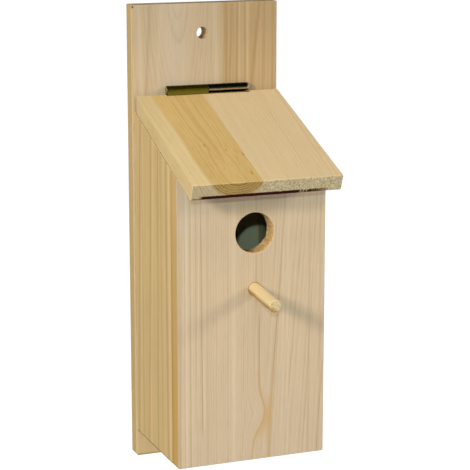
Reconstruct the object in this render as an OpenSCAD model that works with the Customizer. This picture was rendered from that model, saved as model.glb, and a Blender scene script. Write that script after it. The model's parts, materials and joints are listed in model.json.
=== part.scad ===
// Wooden nest box that hangs flat on a wall or a trunk. A tall back board carries a box of
// four panels and a floor, with a sloping lid hinged to the board. Millimetres, +Z up,
// the entrance faces -Y. The origin is the hanging hole's centre, on the board's back face.

/* [Back board] */
// Width of the back board
board_w = 124; // [110:1:180]
// Height of the back board
board_h = 374; // [300:1:500]
// Thickness of the back board
board_t = 15; // [12:0.5:24]

/* [Hanging hole] */
// Diameter of the hanging hole
hang_hole_d = 9.5; // [5:0.5:14]
// Height of board above the hanging hole's centre
hang_hole_drop = 24; // [14:1:40]
// Sideways place of the hanging hole, from the board's centre line
hang_hole_offset = -3; // [-10:0.5:10]

/* [Box] */
// Distance of the box's sides inside the back board's
box_inset = 0.5; // [0:0.5:8]
// Depth of the side panels, from the back board to the front panel
side_depth = 86; // [60:1:140]
// Thickness of the side panels
side_t = 15; // [10:0.5:18]
// Thickness of the front panel
front_t = 15; // [10:0.5:24]
// Thickness of the floor panel
floor_t = 15; // [8:0.5:24]
// Height of the box's lower edge above the back board's
box_rise = 22; // [0:1:40]
// Gap between the floor panel and each wall
floor_gap = 0.1; // [0.05:0.05:0.5]

/* [Entrance] */
// Diameter of the entrance hole
entrance_d = 32; // [26:1:40]
// Distance from the front panel's upper edge down to the entrance's centre
entrance_drop = 45.5; // [24:0.5:80]
// Sideways place of the entrance and the perch, from the box's centre line
entrance_offset = 2; // [-6:0.5:6]

/* [Perch] */
// Diameter of the perch dowel
perch_d = 10; // [6:0.5:14]
// Length of the perch in front of the panel
perch_reach = 42; // [20:1:80]
// Distance from the entrance's centre down to the perch's centre
perch_drop = 44.5; // [32:0.5:80]
// Slope of the perch, down to its free end
perch_tilt = 5.5; // [0:0.5:8]
// Wood left behind the perch's blind hole
perch_web = 4; // [2:0.5:6]
// Chamfer at the perch's free end
perch_chamfer = 0.8; // [0.2:0.1:2]
// Radial gap between the perch and its hole
perch_gap = 0.05; // [0.02:0.01:0.1]

/* [Roof] */
// Height of board above the roof's upper back edge
roof_drop = 71.5; // [50:1:110]
// Slope of the roof, down to the front
roof_pitch = 21; // [10:0.5:30]
// Thickness of the roof boards
roof_t = 13; // [10:0.5:22]
// Distance of the roof's sides inside the back board's, or past them where below 0
roof_inset = 1; // [-20:0.5:5]
// Reach of the roof's lower front edge past the front panel
roof_overhang = 29; // [5:1:60]
// Gap between the roof's back end and the back board
roof_back_gap = 4.5; // [2.5:0.5:5]
// Sideways place of the glue line between the two roof boards, from the roof's centre line
roof_seam_offset = -5; // [-18:0.5:18]
// Gap under the closed roof, square to its slope
lid_gap = 0.3; // [0.2:0.1:1]

/* [Hinge] */
// Length of the hinge
hinge_len = 70; // [50:1:76]
// Outer diameter of the knuckles
knuckle_d = 6.5; // [6:0.5:9]
// Thickness of the leaves
leaf_t = 1.2; // [1:0.1:2]
// Height of the leaves' free edges above the lower edge of the roof's back end
leaf_margin = 2.5; // [1:0.5:3]
// Height of the knuckles' underside above the roof's upper back edge
knuckle_lift = 0; // [-1.5:0.25:3]
// Radial gap between the pin and the knuckles
pin_gap = 0.05; // [0.02:0.01:0.1]
// Gap between the two knuckles, and between each one and the other leaf
knuckle_gap = 0.4; // [0.3:0.1:1]
// Lip of the pin's peened ends, past its shank
pin_head_lip = 0.7; // [0.3:0.1:1]
// Height of the pin's peened ends
pin_head_h = 0.4; // [0.2:0.1:1.5]
// Gap between the rebate in the roof and the leaf's free edge, or the pin's ends
rebate_gap = 0.3; // [0.2:0.1:1]

/* [Hinge screws] */
// Screws in each leaf
hinge_screws = 3; // [2:1:4]
// Distance of the outer screws from the hinge's ends
hinge_screw_end = 13; // [6:0.5:16]
// Height of the screws above the leaf's free edge
hinge_screw_rise = 3.6; // [3:0.1:5]
// Diameter of the screws' shanks
hinge_screw_d = 2.4; // [2:0.1:3]
// Diameter of the screws' heads
hinge_screw_head_d = 4.8; // [4:0.1:5.5]
// Length of the screws with their heads
hinge_screw_len = 10; // [8:0.5:11]

/* [Back screws] */
// Diameter of the shanks of the screws through the board into the side panels
back_screw_d = 3.5; // [3:0.1:4.5]
// Diameter of these screws' heads
back_screw_head_d = 7; // [6:0.1:8]
// Length of these screws with their heads
back_screw_len = 38; // [30:1:50]
// Distance of these screws from the side panels' upper and lower ends
back_screw_inset = 35; // [20:1:60]
// Gap between any screw and its hole
screw_gap = 0.05; // [0.02:0.01:0.1]

/* [Hidden] */
$fn = 64;
over = 1;                              // how far a cut runs past the face it opens

wood_pale = "burlywood";
wood_gold = "tan";
wood_front = "wheat";
wood_perch = "moccasin";
metal = "darkkhaki";
metal_screw = "goldenrod";

// Planes across the depth, from the wall to the front
mid_x = -hang_hole_offset;             // centre plane of the board, box and roof
board_y = -board_t;                    // front face of the back board
side_y = board_y - side_depth;         // back face of the front panel
front_y = side_y - front_t;            // front face of the front panel

// Heights
board_top = hang_hole_drop;
board_bottom = board_top - board_h;
box_bottom = board_bottom + box_rise;

// Widths
box_w = board_w - 2 * box_inset;
roof_w = board_w - 2 * roof_inset;

// Roof: its upper back edge, and the heights of its two faces at a depth y
roof_back_y = board_y - roof_back_gap;
roof_back_z = board_top - roof_drop;
roof_front_y = front_y - roof_overhang;
function roof_top_z(y) = roof_back_z - (roof_back_y - y) * tan(roof_pitch);
function roof_under_z(y) = roof_top_z(y) - roof_t / cos(roof_pitch);
function wall_top_z(y) = roof_under_z(y) - lid_gap / cos(roof_pitch);
roof_left = mid_x - roof_w / 2;
roof_right = mid_x + roof_w / 2;
seam_x = mid_x + roof_seam_offset;

// Entrance, and the perch below it
entrance_x = mid_x + entrance_offset;
entrance_z = wall_top_z(front_y) - entrance_drop;
perch_z = entrance_z - perch_drop;

// Hinge: each leaf is tangent to the knuckles, one at the board and one at the roof
knuckle_r = knuckle_d / 2;
pin_y = board_y - knuckle_r;
pin_z = roof_back_z + knuckle_lift + knuckle_r;
pin_d = knuckle_d - 2 * leaf_t - 2 * pin_gap;
pin_head_d = pin_d + 2 * pin_head_lip;
leaf_bottom = roof_under_z(roof_back_y) + leaf_margin;
leaf_h = pin_z - leaf_bottom;
notch_z = pin_z - knuckle_r - knuckle_gap;
hinge_left = mid_x - hinge_len / 2;
hinge_right = mid_x + hinge_len / 2;
pin_left = hinge_left - pin_gap - pin_head_h;
pin_right = hinge_right + pin_gap + pin_head_h;
roof_leaf_y = board_y - knuckle_d;     // face of the roof's leaf that lies on the roof
hinge_screw_z = leaf_bottom + hinge_screw_rise;
hinge_screw_pitch = (hinge_len - 2 * hinge_screw_end) / (hinge_screws - 1);
hinge_screw_xs = [for (i = [0:hinge_screws - 1])
    hinge_left + hinge_screw_end + i * hinge_screw_pitch];

// Screws from behind the board into the middle of the side panels' back edges
side_mid = box_w / 2 - side_t / 2;
back_screw_xs = [mid_x - side_mid, mid_x + side_mid];
back_screw_zs = [box_bottom + back_screw_inset, wall_top_z(board_y) - back_screw_inset];

// A profile of [y, z] points, carried from x0 to x1
module along_x(x0, x1, profile) {
    translate([x0, 0, 0])
        rotate([90, 0, 90])
            linear_extrude(x1 - x0)
                polygon(profile);
}

// A cylinder along X
module rod_x(x0, x1, y, z, d) {
    translate([x0, y, z])
        rotate([0, 90, 0])
            cylinder(h = x1 - x0, d = d);
}

// A countersunk screw with its head's face at the origin and its tip towards +Z
module screw(d, head_d, length) {
    head_h = (head_d - d) / 2;
    point_h = d;
    point_r = d / 8;
    rotate_extrude()
        polygon([[0, 0], [head_d / 2, 0], [d / 2, head_h], [d / 2, length - point_h],
                 [point_r, length], [0, length]]);
}

// The hole for such a screw: its seat, its shank with a gap round it, and a flat end
module screw_hole(d, head_d, length) {
    seat_r = head_d / 2 + screw_gap;
    bore_r = d / 2 + screw_gap;
    seat_h = seat_r - bore_r;
    rotate_extrude()
        polygon([[0, -over], [seat_r, -over], [seat_r, 0], [bore_r, seat_h],
                 [bore_r, length + screw_gap], [0, length + screw_gap]]);
}

// Places of the hinge's screws, driven into the board and into the roof's end
module at_board_leaf_screws() {
    for (x = hinge_screw_xs)
        translate([x, board_y - leaf_t, hinge_screw_z])
            rotate([-90, 0, 0])
                children();
}

module at_roof_leaf_screws() {
    for (x = hinge_screw_xs)
        translate([x, roof_leaf_y + leaf_t, hinge_screw_z])
            rotate([90, 0, 0])
                children();
}

module at_back_screws() {
    for (x = back_screw_xs, z = back_screw_zs)
        translate([x, 0, z])
            rotate([90, 0, 0])
                children();
}

// The perch's own axis: origin in the front panel's face, +Z out along the dowel
module at_perch() {
    translate([entrance_x, front_y, perch_z])
        rotate([90 + perch_tilt, 0, 0])
            children();
}

module back_board() {
    color(wood_front)
    difference() {
        translate([mid_x - board_w / 2, board_y, board_bottom])
            cube([board_w, board_t, board_h]);
        translate([0, over, 0])
            rotate([90, 0, 0])
                cylinder(h = board_t + 2 * over, d = hang_hole_d);
        at_board_leaf_screws()
            screw_hole(hinge_screw_d, hinge_screw_head_d, hinge_screw_len);
        at_back_screws()
            screw_hole(back_screw_d, back_screw_head_d, back_screw_len);
    }
}

// Outline of a side panel, whose upper end follows the roof
side_profile = [[board_y, box_bottom], [side_y, box_bottom],
                [side_y, wall_top_z(side_y)], [board_y, wall_top_z(board_y)]];

module side_panel(x0) {
    difference() {
        along_x(x0, x0 + side_t, side_profile);
        at_back_screws()
            screw_hole(back_screw_d, back_screw_head_d, back_screw_len);
    }
}

module left_side() {
    color(wood_gold)
        side_panel(mid_x - box_w / 2);
}

module right_side() {
    color(wood_gold)
        side_panel(mid_x + box_w / 2 - side_t);
}

module front_panel() {
    profile = [[side_y, box_bottom], [front_y, box_bottom],
               [front_y, wall_top_z(front_y)], [side_y, wall_top_z(side_y)]];
    color(wood_front)
    difference() {
        along_x(mid_x - box_w / 2, mid_x + box_w / 2, profile);
        translate([entrance_x, side_y + over, entrance_z])
            rotate([90, 0, 0])
                cylinder(h = front_t + 2 * over, d = entrance_d);
        at_perch()
            translate([0, 0, perch_web - front_t])
                cylinder(h = front_t, d = perch_d + 2 * perch_gap);
    }
}

module floor_panel() {
    inner_w = box_w - 2 * side_t;
    color(wood_pale)
        translate([mid_x - inner_w / 2 + floor_gap, side_y + floor_gap, box_bottom])
            cube([inner_w - 2 * floor_gap, side_depth - 2 * floor_gap, floor_t]);
}

module perch() {
    socket = front_t - perch_web;
    color(wood_perch)
    at_perch()
        rotate_extrude()
            polygon([[0, -socket], [perch_d / 2, -socket],
                     [perch_d / 2, perch_reach - perch_chamfer],
                     [perch_d / 2 - perch_chamfer, perch_reach], [0, perch_reach]]);
}

// One of the two roof boards, from x0 to x1, with its part of the hinge's rebate
module roof_board(x0, x1) {
    front_edge = [roof_front_y, roof_under_z(roof_front_y)];
    square_end = roof_t * [-sin(roof_pitch), cos(roof_pitch)];
    profile = [[roof_back_y, roof_back_z], [roof_back_y, roof_under_z(roof_back_y)],
               front_edge, front_edge + square_end];
    rebate_depth = roof_back_y - roof_leaf_y;
    difference() {
        along_x(x0, x1, profile);
        translate([pin_left - rebate_gap, roof_leaf_y, leaf_bottom - rebate_gap])
            cube([pin_right - pin_left + 2 * rebate_gap, rebate_depth + over, leaf_h + knuckle_d]);
        at_roof_leaf_screws()
            screw_hole(hinge_screw_d, hinge_screw_head_d, hinge_screw_len);
    }
}

module roof_left_board() {
    color(wood_gold)
        roof_board(roof_left, seam_x);
}

module roof_right_board() {
    color(wood_pale)
        roof_board(seam_x, roof_right);
}

// A hinge leaf that lies between y0 and y0 + leaf_t, with its knuckle from x0 to x1 and
// a notch for the other leaf's knuckle from notch_x0 to notch_x1
module hinge_leaf(y0, x0, x1, notch_x0, notch_x1) {
    difference() {
        union() {
            translate([hinge_left, y0, leaf_bottom])
                cube([hinge_len, leaf_t, leaf_h]);
            rod_x(x0, x1, pin_y, pin_z, knuckle_d);
        }
        translate([notch_x0, y0 - over, notch_z])
            cube([notch_x1 - notch_x0, leaf_t + 2 * over, leaf_h]);
        rod_x(x0 - over, x1 + over, pin_y, pin_z, pin_d + 2 * pin_gap);
    }
}

module hinge_board_leaf() {
    color(metal)
    difference() {
        hinge_leaf(board_y - leaf_t, mid_x + knuckle_gap / 2, hinge_right,
                   hinge_left - over, mid_x + knuckle_gap / 2);
        at_board_leaf_screws()
            screw_hole(hinge_screw_d, hinge_screw_head_d, hinge_screw_len);
    }
}

module hinge_roof_leaf() {
    color(metal)
    difference() {
        hinge_leaf(roof_leaf_y, hinge_left, mid_x - knuckle_gap / 2,
                   mid_x - knuckle_gap / 2, hinge_right + over);
        at_roof_leaf_screws()
            screw_hole(hinge_screw_d, hinge_screw_head_d, hinge_screw_len);
    }
}

module hinge_pin() {
    color(metal) {
        rod_x(pin_left, pin_right, pin_y, pin_z, pin_d);
        rod_x(pin_left, pin_left + pin_head_h, pin_y, pin_z, pin_head_d);
        rod_x(pin_right - pin_head_h, pin_right, pin_y, pin_z, pin_head_d);
    }
}

module hinge_board_screws() {
    color(metal_screw)
        at_board_leaf_screws()
            screw(hinge_screw_d, hinge_screw_head_d, hinge_screw_len);
}

module hinge_roof_screws() {
    color(metal_screw)
        at_roof_leaf_screws()
            screw(hinge_screw_d, hinge_screw_head_d, hinge_screw_len);
}

module back_screws() {
    color(metal_screw)
        at_back_screws()
            screw(back_screw_d, back_screw_head_d, back_screw_len);
}

back_board();
left_side();
right_side();
front_panel();
floor_panel();
perch();
roof_left_board();
roof_right_board();
hinge_board_leaf();
hinge_roof_leaf();
hinge_pin();
hinge_board_screws();
hinge_roof_screws();
back_screws();
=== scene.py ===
# %% [markdown]
# # A wooden nest box, board by board
#
# The real object is glued and screwed together from raw softwood boards. A tall back board
# hangs on a nail, a box of four panels stands on its front, and a sloping lid turns on a small
# brassed hinge. Its construction is already drawn and packed, so this notebook adds only what
# the eye sees: softly sanded edges, wood that looks cut from a tree, and worn metal.
#
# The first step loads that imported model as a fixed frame. Every size below is read from it,
# because a piece that takes its place from the frame can't drift away from it.

# %% Load the frame
import json
import math

import bmesh
import bpy
import numpy as np
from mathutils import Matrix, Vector


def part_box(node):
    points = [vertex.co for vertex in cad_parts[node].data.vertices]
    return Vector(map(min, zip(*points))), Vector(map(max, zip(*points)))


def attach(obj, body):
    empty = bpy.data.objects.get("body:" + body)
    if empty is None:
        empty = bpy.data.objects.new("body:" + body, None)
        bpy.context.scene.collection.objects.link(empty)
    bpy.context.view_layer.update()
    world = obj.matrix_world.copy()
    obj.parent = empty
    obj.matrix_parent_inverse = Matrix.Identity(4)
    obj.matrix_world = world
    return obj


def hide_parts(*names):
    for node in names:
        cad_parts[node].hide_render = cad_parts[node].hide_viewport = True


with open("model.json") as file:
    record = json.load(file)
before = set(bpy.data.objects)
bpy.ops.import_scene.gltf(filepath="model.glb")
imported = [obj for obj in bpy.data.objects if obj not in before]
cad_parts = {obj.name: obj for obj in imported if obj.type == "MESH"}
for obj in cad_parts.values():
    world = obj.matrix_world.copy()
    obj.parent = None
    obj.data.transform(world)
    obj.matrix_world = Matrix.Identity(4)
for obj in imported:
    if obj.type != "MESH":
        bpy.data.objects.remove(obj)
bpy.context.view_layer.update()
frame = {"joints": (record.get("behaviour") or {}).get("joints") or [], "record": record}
mm = 0.001


def extent(node):
    """Lowest and highest corner of a node of the frame, as two arrays in metres."""
    low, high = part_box(node)
    return np.array(low), np.array(high)


board_low, board_high = extent("back_board")
panel_low, panel_high = extent("front_panel")
left_low, left_high = extent("left_side")
right_low, right_high = extent("right_side")
pin_low, pin_high = extent("hinge_pin")

# %% [markdown]
# ## Camera and light
#
# The box is seen from the front, a little from the left and a little from above, through a
# long lens, so its edges stay almost parallel. Two large soft lamps stand to the left and to the
# right of it, a hand's breadth above eye level. Each one throws its own soft shadow of the
# perch, which is how one can tell that there are two. A wide lamp high up brightens the roof, a
# small one near the camera shines into the entrance, and an even glow from all round fills
# the shadows.
#
# A lamp's power follows from the share of light that it should give a white card that faces
# it: a share of 1 is the light under which a colour renders as it is written.

# %% Camera
CAMERA_PLACE = Vector((-0.4799, -1.3094, 0.1362))
CAMERA_AZIMUTH = math.radians(-21.435)
CAMERA_ELEVATION = math.radians(12.359)
LENS = 131.34
SENSOR_WIDTH = 36
FARTHEST_SEEN = 200


def facing(azimuth, elevation):
    """Unit vector from the box towards a place at that azimuth and elevation.

    Azimuth 0 is straight in front, at -Y, and grows towards +X.
    """
    return Vector((math.sin(azimuth) * math.cos(elevation),
                   -math.cos(azimuth) * math.cos(elevation),
                   math.sin(elevation)))


camera = bpy.data.objects.new("camera", bpy.data.cameras.new("camera"))
camera.data.lens = LENS
camera.data.sensor_width = SENSOR_WIDTH
camera.data.clip_end = FARTHEST_SEEN
camera.location = CAMERA_PLACE
toward_box = -facing(CAMERA_AZIMUTH, CAMERA_ELEVATION)
camera.rotation_euler = toward_box.to_track_quat("-Z", "Y").to_euler()
bpy.context.scene.collection.objects.link(camera)
bpy.context.scene.camera = camera
bpy.context.scene.view_settings.view_transform = "Standard"
print("camera looks along", [round(c, 3) for c in toward_box])

# %% Lamps
LIT_POINT = Vector((0.0, -0.11, -0.18))


def lamp(name, azimuth, elevation, distance, size, share, colour, mirrored=True):
    """A square soft lamp that faces the box. Its power is share x pi^2 x distance^2.

    One that isn't mirrored lights the box, but shiny metal doesn't show it as a glaring dot.
    """
    data = bpy.data.lights.new(name, "AREA")
    data.size = size
    data.energy = share * math.pi ** 2 * distance ** 2
    data.color = colour
    obj = bpy.data.objects.new(name, data)
    away = facing(math.radians(azimuth), math.radians(elevation))
    obj.location = LIT_POINT + distance * away
    obj.rotation_euler = (-away).to_track_quat("-Z", "Y").to_euler()
    obj.visible_glossy = mirrored
    bpy.context.scene.collection.objects.link(obj)
    print(name, "power", round(data.energy, 1), "W")


WARM = (1.0, 0.945, 0.87)
lamp("left_lamp", -56, 23.5, 2.0, 0.32, 0.56, WARM)
lamp("right_lamp", 53, 20.5, 2.0, 0.42, 0.30, WARM)
lamp("front_lamp", -22.5, 18.5, 2.2, 0.05, 0.22, (0.68, 1.0, 1.0), mirrored=False)
lamp("top_lamp", -8, 62, 2.0, 0.9, 0.20, (1.0, 0.98, 0.95))

# %% [markdown]
# ## Formulas that become nodes
#
# The sky, the floor and every finish below are formulas, such as "a bell-shaped bump times a
# share". They could be drawn as nodes, one link at a time, but then nobody could read the
# formula any more. So `Field` stands for a value that changes from point to point, and adding or
# multiplying two of them adds the matching node to the tree that is being built.

# %% Values that change from point to point
class Field:
    """A number or colour that varies over a surface: one output of the nodes being built."""

    tree = None
    owner = ""

    def __init__(self, socket):
        self.socket = socket

    def __add__(self, other):
        return calculate("ADD", self, other)

    def __sub__(self, other):
        return calculate("SUBTRACT", self, other)

    def __rsub__(self, other):
        return calculate("SUBTRACT", other, self)

    def __mul__(self, other):
        return calculate("MULTIPLY", self, other)

    def __truediv__(self, other):
        return calculate("DIVIDE", self, other)

    def __pow__(self, other):
        return calculate("POWER", self, other)

    def __neg__(self):
        return calculate("MULTIPLY", self, -1.0)

    __radd__ = __add__
    __rmul__ = __mul__


print("a Field can be added, taken off, multiplied, divided and raised to a power")

# %% Nodes


def plug(socket, value):
    """Links a Field, or a node's first output, to an input, or sets a plain value on it."""
    if isinstance(value, bpy.types.Node):
        value = Field(value.outputs[0])
    if isinstance(value, Field):
        Field.tree.links.new(value.socket, socket)
    else:
        socket.default_value = value


def new_node(kind, inputs, **settings):
    """A node with those settings and inputs, given by name or by number."""
    node = Field.tree.nodes.new(kind)
    for name, value in settings.items():
        setattr(node, name, value)
    for key, value in inputs.items():
        plug(node.inputs[key], value)
    return node


def start_nodes(owner):
    """Empties the nodes of a material or a world, and makes its tree the one being built."""
    owner.use_nodes = True
    Field.owner = owner.name
    Field.tree = owner.node_tree
    Field.tree.nodes.clear()


def finish_nodes(shader, kind="Material"):
    """Links the finished shader to the tree's output."""
    new_node(f"ShaderNodeOutput{kind}", {0: shader})
    print("finish", Field.owner, "with", len(Field.tree.nodes), "nodes")


print("helpers for nodes:", [helper.__name__ for helper in (plug, new_node, start_nodes, finish_nodes)])

# %% Rises, bumps and noise


def calculate(operation, *values):
    """One Math node, such as ADD or POWER, as a Field."""
    node = new_node("ShaderNodeMath", dict(enumerate(values)), operation=operation)
    return Field(node.outputs[0])


def smooth(low, high, value):
    """0 below low, 1 above high, and a soft S-shaped rise between them. Swapped, it falls."""
    inputs = {"Value": value, "From Min": low, "From Max": high}
    node = new_node("ShaderNodeMapRange", inputs, interpolation_type="SMOOTHSTEP")
    return Field(node.outputs[0])


def span(start, full, fade, end, value):
    """0 outside start and end, and 1 from full to fade, with soft S-shaped flanks."""
    return smooth(start, full, value) * smooth(end, fade, value)


def bell(value, centre, width):
    """A bell-shaped bump: e to the minus square of the distance from centre over width."""
    return calculate("EXPONENT", -(((value - centre) / width) ** 2.0))


def together(x, y, z):
    """Three Fields or numbers as one vector."""
    return Field(new_node("ShaderNodeCombineXYZ", {0: x, 1: y, 2: z}).outputs[0])


def noise(point, detail=2.0, roughness=0.5):
    """Soft noise from -1 to 1, with one blob per unit of the point's coordinates."""
    inputs = {"Vector": point, "Scale": 1.0, "Detail": detail, "Roughness": roughness}
    return Field(new_node("ShaderNodeTexNoise", inputs).outputs["Fac"]) * 2.0 - 1.0


def dice(value):
    """A number from 0 to 1 that jumps at random from one whole value to the next."""
    node = new_node("ShaderNodeTexWhiteNoise", {"W": value}, noise_dimensions="1D")
    return Field(node.outputs["Value"])


print("a rise, a span, a bell, noise and dice are the five kinds of pattern used here")

# %% Colours


def shader_colour(colour):
    """Three values as a screen shows them, from 0 to 255, in the linear values of a shader.

    A Field and a colour that is already linear, with four values, stay as they are.
    """
    if isinstance(colour, Field) or len(colour) == 4:
        return colour
    share = np.array(colour) / 255
    linear = np.where(share <= 0.04045, share / 12.92, ((share + 0.055) / 1.055) ** 2.4)
    return (*linear.tolist(), 1.0)


def blend(first, second, share):
    """The first colour where share is 0, and the second where it is 1."""
    inputs = {"Factor": share, 6: shader_colour(first), 7: shader_colour(second)}
    node = new_node("ShaderNodeMix", inputs, data_type="RGBA", clamp_factor=True)
    return Field(node.outputs[2])


def scaled(colour, amount):
    """A colour times a number, which makes it lighter or darker."""
    node = new_node("ShaderNodeVectorMath", {0: colour, "Scale": amount}, operation="SCALE")
    return Field(node.outputs[0])


def paint(colour, coats):
    """Lays coats over a colour, one after the other. A coat is (its colour, its share).

    A coat without a colour, (None, factor), makes what is there lighter or darker.
    """
    for coat, share in coats:
        colour = scaled(colour, share) if coat is None else blend(colour, coat, share)
    return colour


print("middle grey on a screen is", round(shader_colour((128, 128, 128))[0], 3), "in a shader")

# %% [markdown]
# ## Stage
#
# The box hangs in front of nothing but white, above a pale floor that lies well below it.
# White paper could be lit until it glares, but that light would spill onto the box. So the
# floor and the sky are lifted to white only for rays that come straight from the camera or
# from a mirror, and everything else meets the pale floor and the soft, slightly cool glow.

# %% Sky
GLOW = 0.33
GLOW_COLOUR = (0.88, 0.97, 1.14, 1)
WHITE = (1, 1, 1, 1)
BLACK = (0, 0, 0, 1)
CEILING_SHADE = 0.96


def ray(kind):
    """1 where light arrives by that kind of ray, and 0 elsewhere."""
    return Field(new_node("ShaderNodeLightPath", {}).outputs[kind])


def seen_directly():
    """1 for camera, glossy and transmission rays, and 0 for the rest: the highest of the three."""
    highest = calculate("MAXIMUM", ray("Is Camera Ray"), ray("Is Glossy Ray"))
    return calculate("MAXIMUM", highest, ray("Is Transmission Ray"))


def ceiling_for_mirrors():
    """White, but nearly black for mirror rays that go up steeper than about 10 to 25 degrees.

    The studio's own ceiling is dark. Only shiny metal shows it, as dark upper sides.
    """
    direction = Field(new_node("ShaderNodeTexCoord", {}).outputs["Generated"])
    height = Field(new_node("ShaderNodeSeparateXYZ", {0: direction}).outputs["Z"])
    shade = smooth(0.10, 0.40, height) * CEILING_SHADE
    return blend(WHITE, BLACK, ray("Is Glossy Ray") * shade)


world = bpy.data.worlds.new("studio")
bpy.context.scene.world = world
start_nodes(world)
glow = new_node("ShaderNodeBackground", {"Color": GLOW_COLOUR, "Strength": GLOW})
backdrop = new_node("ShaderNodeBackground", {"Color": ceiling_for_mirrors()})
finish_nodes(new_node("ShaderNodeMixShader", {0: seen_directly(), 1: glow, 2: backdrop}), "World")

# %% Floor
FLOOR_DROP = 0.8
FLOOR_REACH = 60.0
FLOOR_COLOUR = (0.80, 0.80, 0.80, 1)
FLOOR_LIFT = 0.80

floor_mesh = bpy.data.meshes.new("floor")
reach = np.array([[-1, -1], [1, -1], [1, 1], [-1, 1]]) * FLOOR_REACH
floor_z = board_low[2] - FLOOR_DROP
floor_mesh.from_pydata(np.column_stack([reach, np.full(4, floor_z)]).tolist(), [], [(0, 1, 2, 3)])
floor = bpy.data.objects.new("floor", floor_mesh)
bpy.context.scene.collection.objects.link(floor)

paper = bpy.data.materials.new("pale_paper")
start_nodes(paper)
matt = new_node("ShaderNodeBsdfDiffuse", {"Color": FLOOR_COLOUR})
lift = new_node("ShaderNodeEmission", {"Strength": seen_directly() * FLOOR_LIFT})
finish_nodes(new_node("ShaderNodeAddShader", {0: matt, 1: lift}))
floor_mesh.materials.append(paper)
print("floor at z =", round(float(floor_z), 3))

# %% [markdown]
# ## From grids to pieces
#
# Every surface below is a grid of points f(u, v), worked out as one numpy array. A solid such
# as a board with a hole is easiest to write as a few such grids that share their borders: the
# front, the back, the rounded rim and the wall of the hole. They could be left as separate
# sheets, but then the board would fall apart along the seams. So all grids of a piece go into
# one mesh, points at the same place are merged, and the faces are turned outwards. The check
# at the end counts the open edges, and a sound piece has none.
#
# Wide flat faces next to narrow rounded ones would shade wrongly if normals were plain
# averages. A Weighted Normal modifier lets the wide face win, which keeps it flat to the eye.

# %% Pieces from grids
MERGE_DISTANCE = 1e-6
LARGE_FACES_WIN = 100


def grid_faces(rows, columns, first):
    """The quads of a grid of points that is numbered row by row, from number `first`."""
    corner = np.arange(rows - 1)[:, None] * columns + np.arange(columns - 1)[None] + first
    return np.stack([corner, corner + 1, corner + columns + 1, corner + columns], -1)


def close_up(mesh):
    """Merges points at the same place and turns the faces outwards.

    Gives the volume in cubic metres, and the number of edges that don't join two faces.
    """
    shape = bmesh.new()
    shape.from_mesh(mesh)
    bmesh.ops.remove_doubles(shape, verts=shape.verts, dist=MERGE_DISTANCE)
    bmesh.ops.recalc_face_normals(shape, faces=shape.faces)
    if shape.calc_volume(signed=True) < 0:
        bmesh.ops.reverse_faces(shape, faces=shape.faces)
    volume = shape.calc_volume()
    open_edges = sum(not edge.is_manifold for edge in shape.edges)
    shape.to_mesh(mesh)
    shape.free()
    return volume, open_edges


def finish_piece(name, grids, body, replaced, material, lids=()):
    """Makes one closed piece from grids of shape (rows, columns, 3), in metres.

    A grid may come with a mask of shape (rows - 1, columns - 1) that says which quads stay.
    Each lid is a flat polygon (points, 3) that closes an end.
    """
    points, faces, first = [], [], 0
    for grid in grids:
        grid, mask = grid if isinstance(grid, tuple) else (grid, None)
        rows, columns = grid.shape[:2]
        quads = grid_faces(rows, columns, first)
        faces += (quads.reshape(-1, 4) if mask is None else quads[mask]).tolist()
        points.append(grid.reshape(-1, 3))
        first += rows * columns
    for lid in lids:
        faces.append(list(range(first, first + len(lid))))
        points.append(lid)
        first += len(lid)
    mesh = bpy.data.meshes.new(name)
    mesh.from_pydata(np.concatenate(points).tolist(), [], faces)
    volume, open_edges = close_up(mesh)
    mesh.shade_smooth()
    mesh.materials.append(material)
    piece = bpy.data.objects.new(name, mesh)
    bpy.context.scene.collection.objects.link(piece)
    even = piece.modifiers.new("even_normals", "WEIGHTED_NORMAL")
    even.weight = LARGE_FACES_WIN
    even.keep_sharp = False
    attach(piece, body)
    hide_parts(replaced)
    print(f"{name}: {len(mesh.polygons)} faces, {volume * 1e6:.1f} cm3, open edges {open_edges}")


print("points closer than", MERGE_DISTANCE / mm, "mm become one")

# %% [markdown]
# ## Wood that was once a tree
#
# A board shows the tree's growth rings wherever its faces cut them. Where a face runs close to
# the tree's centre, the pith, the rings come out as arches and ovals. Far from the pith they are
# straight lines, and on the board's end they are arcs. A picture of grain could be wrapped round
# each board, but then the lines on the face and on the end would never meet. So the
# rings are worked out in space: how far a point lies from the pith's own slightly crooked line,
# divided by the width of a ring. The board is then simply cut out of that block of wood.

# %% Grain
RIGHT = (1, 0, 0)
BACK = (0, 1, 0)
UP = (0, 0, 1)


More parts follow.
